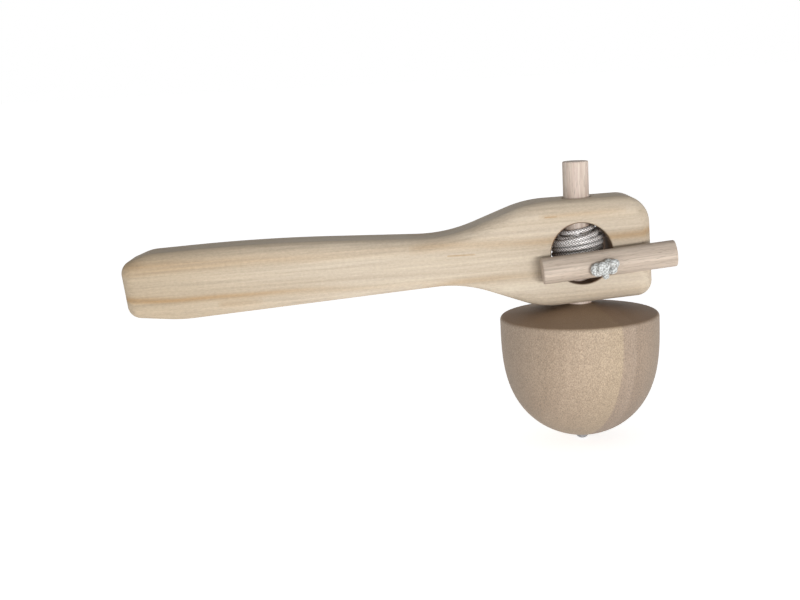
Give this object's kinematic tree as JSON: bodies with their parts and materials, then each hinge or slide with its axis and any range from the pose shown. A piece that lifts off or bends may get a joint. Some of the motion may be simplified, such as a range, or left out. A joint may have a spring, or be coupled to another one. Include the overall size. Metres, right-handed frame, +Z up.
{
  "type": "spinning top",
  "caption": "Wooden spinning top with a steel tip in a long launching handle, its cord wound on the stem inside the handle's window and knotted to a pull toggle.",
  "frame": {"origin": "lowest point of the steel tip, where the top touches the floor", "axes": "+Z up the middle of the stem; the handle reaches out along -X and the toggle lies across its front, which faces -Y"},
  "size_m": [0.2107, 0.062, 0.1103],
  "materials": {
    "pine": "sanded bare pine, satin, with lengthwise grain",
    "turned_wood": "sanded bare close-grained hardwood, upright grain with fine flecks",
    "dowel_wood": "bare hardwood dowel, fine lengthwise grain",
    "steel": "plain bright steel, lightly rubbed",
    "braid": "satin braided synthetic cord, silvery white"
  },
  "bodies": {
    "handle": {"handle": "pine"},
    "wound_cord": {"cord_coil": "braid"},
    "spinning_top": {"stem": "dowel_wood", "top_body": "turned_wood", "steel_tip": "steel"},
    "cord_end": {"cord_lead": "braid"},
    "toggle": {"toggle": "dowel_wood", "cord_knot": "braid"}
  },
  "joints": [
    {"name": "top_spin", "type": "hinge", "parent": "handle", "child": "wound_cord", "pos_m": [0, 0, 0.076], "axis": [0, 0, 1], "range_deg": [-7470, 0], "deforming": ["cord_coil"]},
    {"name": "top_release", "type": "slide", "parent": "wound_cord", "child": "spinning_top", "axis": [0, 0, -1], "range_m": [0, 0.06]},
    {"name": "toggle_pull", "type": "slide", "parent": "handle", "child": "cord_end", "axis": [0, -1, 0], "range_m": [0, 0.96]},
    {"name": "toggle_swivel", "type": "hinge", "parent": "cord_end", "child": "toggle", "pos_m": [0.0091, -0.0173, 0.073], "axis": [0, 1, 0], "range_deg": [-25, 35]}
  ],
  "couplings": [
    {"joint": "toggle_pull", "follows": "top_spin", "m_per_rad": -0.00734}
  ]
}
